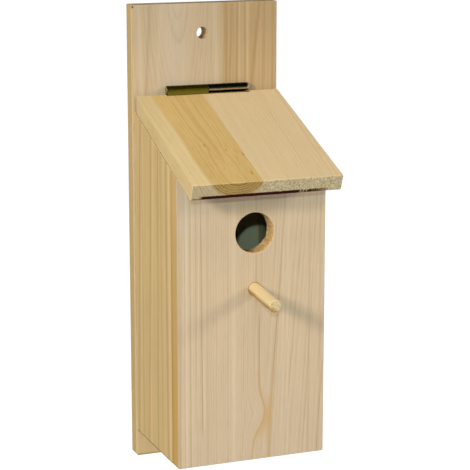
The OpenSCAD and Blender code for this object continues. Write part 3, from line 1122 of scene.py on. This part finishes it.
for side, low, high, face_x, outward, seed in (
        ("left", left_low, left_high, left_low[0], (-1, 0, 0), 21.0),
        ("right", right_low, right_high, right_high[0], (1, 0, 0), 34.0)):
    grid, ends = plain_board(low[0], high[0], side_corners(low, high), 0.7 * mm, seed)
    finish_piece(f"{side}_side_plank", [grid], "box", f"{side}_side",
                 side_wood(f"{side}_side_wood", face_x, low[2], outward, seed), ends)

# %% [markdown]
# The floor panel fits between the side panels, and its grain runs from left to right.

# %% Floor panel
floor_low, floor_high = extent("floor_panel")


def floor_wood():
    """Plain pale wood with wide rings. Its grain runs along x."""
    grain = Grain("floor_panel_wood", tuple(floor_low), RIGHT, BACK, UP, 55.0)
    _, number = grain.rings(40.0 + grain.along * 0.05, -30.0, 3.4)
    return timber(grain, (205, 182, 142), (164, 128, 78), (184, 158, 116), number)


floor_corners = [(floor_low[1], floor_low[2]), (floor_high[1], floor_low[2]),
                 (floor_high[1], floor_high[2]), (floor_low[1], floor_high[2])]
grid, ends = plain_board(floor_low[0], floor_high[0], floor_corners, 0.5 * mm, 5.0)
finish_piece("floor_plank", [grid], "box", "floor_panel", floor_wood(), ends)

# %% [markdown]
# ## Roof
#
# The lid is glued up from two boards. The left one is cut through the heart of a trunk: a
# golden band with a pale strip of sapwood beside it. On its front end the band shows what it
# is, a slice of round heartwood, whose rings are arcs about a point just above the board. So
# one circle gives both the band on the top face and the arc on the end. The right
# board is pale and fine.
#
# At the back, both boards are cut away for the hinge. Between the two ends of that
# rebate the outline has a step. It has as many corners outside, where the extra ones lie on
# a straight edge, so that one grid can run through all of it.

# %% Outline of the roof
ROOF_THICKNESS = 13 * mm
REBATE_GAP = 0.3 * mm
REBATE_LIP = 3 * mm
roof_low, roof_high = extent("roof_left_board")
right_end = extent("roof_right_board")[1][0]
leaf_low = extent("hinge_roof_leaf")[0]
roof_back, seam_x = roof_high[1], roof_high[0]
roof_drop = ROOF_THICKNESS / math.cos(PITCH)
roof_front_low = roof_low[1] + ROOF_THICKNESS * math.sin(PITCH)
rebate_left, rebate_right = pin_low[0] - REBATE_GAP, pin_high[0] + REBATE_GAP
rebate_floor, rebate_front = leaf_low[2] - REBATE_GAP, leaf_low[1]
DOWN_ROOF, ABOVE_ROOF = leaning(PITCH)


def roof_top(y):
    """Height of the roof's top face at a depth y: it falls by the pitch towards the front."""
    return roof_high[2] - (roof_back - y) * math.tan(PITCH)


def roof_corners(cut):
    """Outline (y, z) of a roof board, with the rebate where cut is true."""
    under_back = roof_top(roof_back) - roof_drop
    front = (roof_front_low, roof_top(roof_front_low) - roof_drop)
    front_top = tuple(front + ROOF_THICKNESS * np.array(ABOVE_ROOF[1:]))
    step = rebate_front if cut else roof_back
    level = rebate_floor if cut else rebate_floor + REBATE_LIP
    return [front, (roof_back, under_back), (roof_back, rebate_floor), (step, level),
            (step, roof_top(step)), front_top]


def roof_radii(edge):
    """Rounding of each corner of the outline: none at the rebate's floor."""
    return np.array([1.2 * edge, edge, 0.0, 0.0, 0.6 * edge, 1.1 * edge])


print("roof's lower front edge, from the frame and worked out in mm:",
      round(roof_low[2] / mm, 2), round((roof_top(roof_front_low) - roof_drop) / mm, 2))

# %% Boards of the roof
OUTER_EDGE = 0.9 * mm
SEAM_EDGE = 0.12 * mm
ROOF_WEAR = 1.0 * mm
CLEAR_OF_ENDS = 3 * mm


def roof_board(name, x0, x1, seam_at_right, material, node, seed):
    """One board of the lid, from x0 to x1, with a crisp edge at the glue line.

    Where the rebate begins, two stations share the same x: one uncut, and one cut.
    """
    edge0, edge1 = (OUTER_EDGE, SEAM_EDGE) if seam_at_right else (SEAM_EDGE, OUTER_EDGE)
    jump = rebate_left if seam_at_right else rebate_right
    middle = np.arange(x0 + CLEAR_OF_ENDS, x1 - CLEAR_OF_ENDS, LATTICE_STEP)
    middle = np.sort(np.concatenate([middle[np.abs(middle - jump) > mm], [jump, jump]]))
    cut = middle > jump if seam_at_right else middle < jump
    cut[np.flatnonzero(middle == jump)] = [False, True] if seam_at_right else [True, False]
    wave = worn(len(middle) + 2, ROOF_WEAR, seed)
    stations = end_stations(x0, 1, edge0, roof_corners(cut[0]), roof_radii(wave[0]))
    stations += [(x, roof_corners(c), roof_radii(r), 0.0) for x, c, r in zip(middle, cut, wave[1:])]
    stations += end_stations(x1, -1, edge1, roof_corners(cut[-1]), roof_radii(wave[-1]))[::-1]
    grid, ends = slab(stations)
    finish_piece(name, [grid], "roof", node, material, ends)


def roof_grain(name, seed):
    """Grain that runs down the slope. `through` points up, square to the top face."""
    return Grain(name, (0, roof_back, roof_high[2]), DOWN_ROOF, RIGHT, ABOVE_ROOF, seed)


def eave_shadow_line(grain):
    """A thin dark line along the lower edge of the roof's front end: a painted shadow of the shaded gap
    above the front panel.

    It is black in the middle, breaks up on the right, and is painted golden near the ends, for lit fibres
    of the panel's edge.
    """
    across = grain.across
    front = smooth(0.0, 0.3, grain.facing_along) * smooth(100.0, 120.0, grain.along)
    height = grain.through + ROOF_THICKNESS / mm
    ragged = noise(grain.cells(3, 1.6, 3, 40.0), 2.0, 0.7)
    thin = smooth(1.9, 1.3, height + ragged * 0.5) * front
    thick = smooth(3.3, 2.7, height + ragged * 0.4) * front
    broken = thick * smooth(0.32, 0.0, ragged)
    # painted shadow: the dark line, with paler golden painted flecks near its ends
    return [((128, 96, 34), thin * span(-58.0, -56.0, -51.0, -48.0, across) * 0.8),
            ((116, 88, 28), thick * span(38.0, 42.0, 49.0, 54.0, across) * 0.8),
            ((54, 26, 4), broken * span(27.0, 30.0, 42.0, 49.0, across)),
            ((44, 3, 0), thick * span(-52.0, -48.5, 28.0, 31.0, across))]


print("rebate for the hinge in mm:", round((rebate_right - rebate_left) / mm, 1), "wide")

# %% [markdown]
# The left board's heart is darker in its front end than on its face. Round a few small twigs the
# rings swell, and there are dark eyes. The right board is plain, and its rings lie almost level.

# %% Left roof board
TWIGS = [(-3.4, 99.6, 0.6), (-6.5, 127.0, 0.7), (-29.0, 83.0, 0.6), (-14.5, 91.7, 0.5)]


def gold_wood():
    """Sapwood with a heart of golden wood, 24 mm in radius about a pith 12 mm above the face."""
    grain = roof_grain("golden_roof_wood", 5.0)
    along, across, through = grain.places
    radius, number = grain.rings(along * 0.022 - 24.5, 12.0, 2.1, sway=1.3)
    for place, down, size in TWIGS:
        number = number + bell(across, place, size * 6.0) * bell(along, down, size * 22.0) * 0.55
    share = smooth(26.0, 23.2, radius + noise(grain.cells(60, 3, 3, 2.0), 2.0) * 0.8)
    heart = (share, (206, 171, 108), (150, 104, 46), (174, 141, 84), (74, 46, 12))
    curl = bell(along, 96.0, 32.0) * bell(across, -14.0, 13.0)
    eyes = smooth(0.30, 0.62, noise(grain.cells(6.0, 3.0, 3.0, 21.0), 2.0, 0.6)) * curl
    blush = noise(grain.cells(22, 7, 7, 27.0), 3.0, 0.65)
    flame = noise(grain.cells(9, 2.4, 2.4, 33.0), 3.0, 0.65)
    low_flame = smooth(-0.2, 0.5, flame) * smooth(55.0, 95.0, along)
    sapwood = (1.0 - share) * smooth(0.9, 0.7, grain.facing_along)
    left_edge = blend((220, 189, 132), (206, 168, 104), smooth(-0.2, 0.7, blush))
    # a cream painted highlight along the lower arris of the board's left side face
    arris_highlight = smooth(1.7, 0.7, through + ROOF_THICKNESS / mm) * smooth(-56.6, -57.4, across)
    coats = [((150, 108, 50), eyes * 0.65)]
    coats += [((142, 92, 34), bell(across, place, size) * bell(along, down, size * 3.6) * 0.75)
              for place, down, size in TWIGS]
    coats += [((196, 156, 88), smooth(-0.1, 0.6, blush) * share * 0.5),
              ((192, 144, 74), low_flame * share * 0.42),
              (None, (smooth(15.0, 118.0, along) * 0.12 - 0.05) * sapwood + 1.0),
              (left_edge, smooth(-0.6, -0.95, grain.facing(1)) * 0.85),
              ((240, 218, 176), arris_highlight * 0.7)]
    return timber(grain, (214, 185, 133), (164, 124, 66), (192, 170, 132), number,
                  ring_depth=0.42, line_depth=0.07, cloud_depth=0.09, end_depth=0.9,
                  heart=heart, coats=coats + eave_shadow_line(grain))


roof_board("roof_left_plank", roof_low[0], seam_x, True, gold_wood(),
           "roof_left_board", 2.0)

# %% Right roof board


def pale_wood():
    """Fine pale wood, whose rings lie almost level in the board's front end."""
    grain = roof_grain("pale_roof_wood", 13.0)
    _, number = grain.rings(104.0 - grain.along * 0.05, -58.0, 1.9, sway=1.2)
    return timber(grain, (213, 184, 138), (170, 130, 76), (194, 175, 138), number,
                  ring_depth=0.45, line_depth=0.07, end_depth=1.2, end_grit=1.35,
                  coats=eave_shadow_line(grain))


roof_board("roof_right_plank", seam_x, right_end, False, pale_wood(),
           "roof_right_board", 4.0)

# %% [markdown]
# ## Perch
#
# The perch is a length of birch dowel, pushed into its socket with a slight droop. It is a
# profile turned round its own axis, which could be done with the Spin tool. As a grid it is one
# line of numpy: radius and distance along the axis in one direction, the angle in the
# other. Real dowels are milled slightly out of round, so the radius carries a faint wave.

# %% Turned shapes


def turned(profile, place, axis, first, second, steps, wave=0.0):
    """A profile of (radius, distance) carried round an axis. Poles have radius 0.

    The point is place + distance x axis + radius x (cos angle x first + sin angle x second).
    """
    radius, distance = np.array(profile, float).T
    angle = np.linspace(0, 2 * math.pi, steps + 1)
    angle[-1] = 0
    uneven = 1 + wave * (np.sin(3 * angle) + 0.6 * np.sin(7 * angle + 1))
    spoke = np.cos(angle)[:, None] * np.array(first) + np.sin(angle)[:, None] * np.array(second)
    return (np.array(place) + distance[:, None, None] * np.array(axis)
            + (radius[:, None] * uneven)[..., None] * spoke)


def arc_profile(centre, radius, start, end, steps):
    """Points (radius, distance) along an arc, with its angles in degrees."""
    angle = np.radians(np.linspace(start, end, steps))
    return [(centre[0] + radius * math.cos(t), centre[1] + radius * math.sin(t)) for t in angle]


quarter_round = arc_profile((4 * mm, 0.0), 1 * mm, 0, 90, 5)
print("a quarter round from", quarter_round[0], "has", len(quarter_round), "points")

# %% Perch
SOCKET_DEPTH = 11 * mm
DOWEL_END = 1 * mm
DOWEL_STEPS = 64
OUT_OF_ROUND = 0.006


def dowel_wood():
    """Smooth pale yellow wood, its grain along the dowel, with a golden painted shade along its lower
    left.
    """
    grain = Grain("perch_dowel_wood", (perch_x, panel_front, perch_z), PERCH_OUT, RIGHT, PERCH_UP, 77.0)
    _, number = grain.rings(9.0, grain.along * 0.05 + 14.0, 1.7, sway=0.4)
    painted_shade_side = grain.through * 0.86 + grain.across * 0.5 + noise(grain.cells(14, 2, 2, 3.0)) * 0.6
    # painted shade: darker gold along the dowel's lower left side
    coats = [((170, 130, 52), smooth(-0.6, -3.8, painted_shade_side) * 0.9)]
    return timber(grain, (231, 204, 153), (190, 150, 92), (216, 188, 142), number,
                  line_depth=0.05, cloud_depth=0.05, end_depth=0.6, end_grit=0.9,
                  coats=coats, roughness=0.5)


perch_profile = [(0, -SOCKET_DEPTH), (PERCH_RADIUS, -SOCKET_DEPTH)]
perch_profile += [(PERCH_RADIUS, d * mm) for d in (-5, 0, 5, 12, 20, 28, 35)]
perch_profile += arc_profile((PERCH_RADIUS - DOWEL_END, PERCH_REACH - DOWEL_END), DOWEL_END, 0, 90, 5)
perch_profile.append((0, PERCH_REACH))
perch_grid = turned(perch_profile, (perch_x, panel_front, perch_z), PERCH_OUT, RIGHT, PERCH_UP,
                    DOWEL_STEPS, OUT_OF_ROUND)
finish_piece("perch_dowel", [perch_grid], "box", "perch", dowel_wood())

# %% [markdown]
# ## Hinge
#
# The hinge is bent from sheet steel with a dull brass coat. Each leaf is one strip: flat
# where it is screwed on, then rolled round the pin until its edge almost meets the flat part
# again. A tube joined to a plate would look right from afar, but the rolled edge and its
# narrow gap are what makes a hinge look like one. So the leaf is a flat rounded rectangle, the
# strip's cross-section, carried along a path: a straight line and then 300 degrees of a circle.
#
# One leaf's strip narrows to half its width where the other leaf's knuckle begins.
# At that place the path has two sections at the same point, a wide one and a narrow one.

# %% Path and strip of a leaf
LEAF_THICKNESS = 1.2 * mm
LEAF_EDGE = 0.22 * mm
KNUCKLE_GAP = 0.4 * mm
ROLL = math.radians(300)
hinge_middle, pin_y, pin_z = frame["joints"][0]["pos_m"]
board_leaf_low, board_leaf_high = extent("hinge_board_leaf")
hinge_left, hinge_right = board_leaf_low[0], board_leaf_high[0]
knuckle_radius = board_leaf_high[2] - pin_z
roll_radius = knuckle_radius - LEAF_THICKNESS / 2
notch_z = pin_z - knuckle_radius - KNUCKLE_GAP


def leaf_path(side):
    """Stations (y, z, normal y, normal z, knuckle?) of a strip at the board (1) or roof (-1)."""
    flat = [(leaf_low[2], False), (notch_z, False), (notch_z, True), (pin_z, True)]
    rows = [(pin_y + side * roll_radius, z, side, 0.0, knuckle) for z, knuckle in flat]
    angle = np.linspace(0, ROLL, 49)[1:]
    rows += [(pin_y + side * roll_radius * math.cos(t), pin_z + roll_radius * math.sin(t),
              side * math.cos(t), math.sin(t), True) for t in angle]
    return np.array(rows, float)


def strip(path, wide, narrow):
    """A strip whose section is a rounded rectangle, carried along a path.

    Its width lies along x, and its thickness along the path's normal. The first and last
    sections shrink, which rounds the ends, and a lid closes each of them.
    """
    shrink = LEAF_EDGE * (1 - np.sin(np.linspace(0, math.pi / 2, 4)))
    inset = np.concatenate([shrink, np.zeros(len(path) - 2), shrink[::-1]])
    path = np.vstack([np.repeat(path[:1], 3, axis=0), path, np.repeat(path[-1:], 3, axis=0)])
    turn = np.linspace(0, math.pi / 2, 4)
    angle = (np.arange(4)[:, None] * math.pi / 2 + turn).reshape(-1)
    side_x = np.repeat([1, -1, -1, 1], 4)
    side_out = np.repeat([1, 1, -1, -1], 4)
    left = np.where(path[:, 4] > 0, narrow[0], wide[0])[:, None]
    right = np.where(path[:, 4] > 0, narrow[1], wide[1])[:, None]
    edge = LEAF_EDGE + inset[:, None]
    x = np.where(side_x > 0, right - edge, left + edge) + LEAF_EDGE * np.cos(angle)
    out = side_out * (LEAF_THICKNESS / 2 - edge) + LEAF_EDGE * np.sin(angle)
    grid = np.stack([x, path[:, :1] + out * path[:, 2:3], path[:, 1:2] + out * path[:, 3:4]], -1)
    grid = np.concatenate([grid, grid[:, :1]], axis=1)
    return grid, [grid[0, :-1], grid[-1, :-1]]


print("knuckle diameter in mm", round(2 * knuckle_radius / mm, 2))

# %% [markdown]
# Two finishes tell that the hinge is old. The roof's knuckle is a dull olive, painted paler on
# its lower half: a painted reflection of the golden roof below it. The board's knuckle is
# almost black, with a painted highlight along its front and a painted glint at its right end.
# Both are brass that has tarnished in patches, with fine scratches along the hinge.

# %% Brass


def brass_finish(name, base, stain, roughness, seed, under=None, painted_glint=0.0):
    """Dull brass plating: darker where it has tarnished, with fine scratches along x.

    `under` is the colour of the knuckle's lower half: a painted reflection of the golden roof.
    Where the last number is above 0, a painted highlight runs along the front, just below the
    pin's height, and a painted glint lights the knuckle's right end.
    """
    grain = Grain(name, (hinge_middle, pin_y, pin_z), RIGHT, BACK, UP, seed)
    tarnish = smooth(-0.25, 0.35, noise(grain.cells(5, 3, 3), 4.0, 0.65))
    speck = smooth(0.30, 0.62, noise(grain.cells(1.1, 0.9, 0.9, 4.0), 3.0, 0.6))
    scratch = noise(grain.cells(22, 0.12, 0.12, 9.0), 2.0, 0.6)
    dent = noise(grain.cells(2.5, 2.5, 2.5, 1.0), 2.0)
    coats = [(stain, tarnish * 0.75 + speck * 0.4)]
    if under is not None:
        # painted reflection of the golden roof on the knuckle's lower half
        lower = smooth(1.0, -2.4, grain.through + noise(grain.cells(12, 4, 4, 6.0)) * 0.8)
        coats.append((under, lower * (1.0 - speck * 0.4) * 0.9))
    if painted_glint > 0:
        # painted highlight along the front, and a painted glint at the right end
        patchy = noise(grain.cells(9, 3, 3, 14.0), 3.0, 0.6) * 0.35
        line = bell(grain.through, patchy - 1.15, 0.60) * smooth(0.0, -2.0, grain.across)
        coats += [((0.60, 0.50, 0.36, 1), line * painted_glint),
                  ((0.55, 0.50, 0.40, 1), smooth(33.2, 34.2, grain.along) * painted_glint * 0.7)]
    finish_nodes(new_node("ShaderNodeBsdfPrincipled", {
        "Base Color": paint(base, coats),
        "Metallic": 1.0,
        "Roughness": roughness + tarnish * 0.12 + scratch * 0.05,
        "Normal": relief(scratch * 0.6 + speck * 0.8 + dent * 0.8, 0.35, 0.00005),
    }))
    return grain.material


olive_brass = brass_finish("olive_brass", (0.070, 0.060, 0.003, 1), (0.022, 0.020, 0.003, 1),
                           0.26, 1.0, under=(0.155, 0.112, 0.013, 1))
dark_brass = brass_finish("tarnished_brass", (0.018, 0.022, 0.006, 1), (0.004, 0.004, 0.002, 1),
                          0.20, 4.0, painted_glint=0.95)

# %% Hinge leaves
grid, ends = strip(leaf_path(1), (hinge_left, hinge_right),
                   (hinge_middle + KNUCKLE_GAP / 2, hinge_right))
finish_piece("board_hinge_leaf", [grid], "box", "hinge_board_leaf", dark_brass, ends)
grid, ends = strip(leaf_path(-1), (hinge_left, hinge_right),
                   (hinge_left, hinge_middle - KNUCKLE_GAP / 2))
finish_piece("roof_hinge_leaf", [grid], "roof", "hinge_roof_leaf", olive_brass, ends)

# %% [markdown]
# The pin is a plain rod whose two ends were hammered into low heads, so that it can't slip
# out of the knuckles.

# %% Hinge pin
PIN_PLAY = 0.05 * mm
PIN_HEAD_HEIGHT = 0.4 * mm
PIN_STEPS = 40
pin_radius = knuckle_radius - LEAF_THICKNESS - PIN_PLAY
pin_head = (pin_high[2] - pin_low[2]) / 2
pin_length = pin_high[0] - pin_low[0]
half_profile = [(0, 0), (0.55 * pin_head, 0.03 * mm), (0.85 * pin_head, 0.12 * mm),
                (pin_head, 0.28 * mm), (pin_head, PIN_HEAD_HEIGHT), (pin_radius, PIN_HEAD_HEIGHT)]
pin_profile = half_profile + [(r, pin_length - d) for r, d in half_profile[::-1]]
pin_grid = turned(pin_profile, (pin_low[0], pin_y, pin_z), RIGHT, BACK, UP, PIN_STEPS)
pin_brass = brass_finish("pin_brass", (0.46, 0.38, 0.20, 1), (0.16, 0.12, 0.05, 1), 0.22, 6.0)
finish_piece("hinge_pin_rod", [pin_grid], "box", "hinge_pin", pin_brass)

# %% [markdown]
# ## Screws
#
# All screws are countersunk, with a cross recess. The recess could be cut with a Boolean, but
# the head is a grid of rings anyway, so it is enough to push the points that lie in the cross
# inwards. A point is in the cross if it is near one of the two arms and not too far from
# the middle. The hinge's screws have slightly domed heads, and the ones at the back are flat.

# %% Shape of a screw
HEAD_RINGS = 18
SCREW_STEPS = 72
HEAD_RIM = 0.12 * mm
ARM_WIDTH, ARM_SOFTNESS = 0.17, 0.06
ARM_REACH, ARM_END = 0.62, 0.1
RECESS_DEPTH = 0.55
RECESS_TAPER = 0.75


def screw_grid(place, axis, first, head, shank, length, dome):
    """A screw with its head's rim at `place` and its tip along `axis`.

    Rings run from the middle of the head to its rim, down the cone, the shank and the tip.
    The recess is depth x arm x taper, in shares of the head's radius.
    """
    face = head * np.sin(np.linspace(0, math.pi / 2, HEAD_RINGS + 1)[1:])
    profile = [(0.0, 0.0)] + [(r, 0.0) for r in face]
    profile += [(head, HEAD_RIM), (shank, head - shank), (shank, length - 2 * shank),
                (shank / 4, length), (0.0, length)]
    grid = turned(profile, (0, 0, 0), UP, RIGHT, BACK, SCREW_STEPS)
    aside, above, depth = np.moveaxis(grid, -1, 0)
    near = np.minimum(abs(aside), abs(above)) / head
    far = np.maximum(abs(aside), abs(above)) / head
    arm = np.clip((ARM_WIDTH - near) / ARM_SOFTNESS, 0, 1) * np.clip((ARM_REACH - far) / ARM_END, 0, 1)
    taper = 1 - RECESS_TAPER * np.clip(far / ARM_REACH, 0, 1)
    rise = dome * (1 - np.clip(np.hypot(aside, above) / head, 0, 1) ** 2)
    on_face = (np.arange(len(grid)) <= len(face))[:, None]
    depth = np.where(on_face, RECESS_DEPTH * head * arm * taper - rise, depth)
    return (np.array(place) + aside[..., None] * np.array(first)
            + above[..., None] * np.cross(axis, first) + depth[..., None] * np.array(axis))


sample = screw_grid((0, 0, 0), BACK, RIGHT, SCREW_HEAD, SCREW_SHANK, 37 * mm, 0.0)
print("points of one screw", sample.shape[0] * sample.shape[1])

# %% Screws
HINGE_SCREW = (2.4 * mm, 1.2 * mm, 10 * mm)
BACK_SCREW = (SCREW_HEAD, SCREW_SHANK, 37 * mm)
steel = brass_finish("screw_steel", (0.50, 0.40, 0.16, 1), (0.26, 0.19, 0.08, 1), 0.30, 12.0)


def place_screws(name, node, body, places, axis, turn, sizes, dome):
    """One piece with all screws of a kind. `turn` is the angle at which their crosses stand."""
    first = (math.cos(turn), 0, math.sin(turn))
    grids = [screw_grid(place, axis, first, *sizes, dome) for place in places]
    finish_piece(name, grids, body, node, steel)


for name, node, body, axis, turn in (("board_leaf_screws", "hinge_board_screws", "box", (0, 1, 0), 0.4),
                                     ("roof_leaf_screws", "hinge_roof_screws", "roof", (0, -1, 0), 1.1)):
    low, high = extent(node)
    xs = np.linspace(low[0] + HINGE_SCREW[0], high[0] - HINGE_SCREW[0], 3)
    head_y = low[1] if body == "box" else high[1]
    places = [(x, head_y, (low[2] + high[2]) / 2) for x in xs]
    place_screws(name, node, body, places, axis, turn, HINGE_SCREW, 0.35 * mm)

back_places = [(x, board_high[1] - SCREW_SUNK, z) for x in screw_xs for z in screw_zs]
place_screws("back_plank_screws", "back_screws", "box", back_places, (0, -1, 0), 0.7, BACK_SCREW, 0.0)
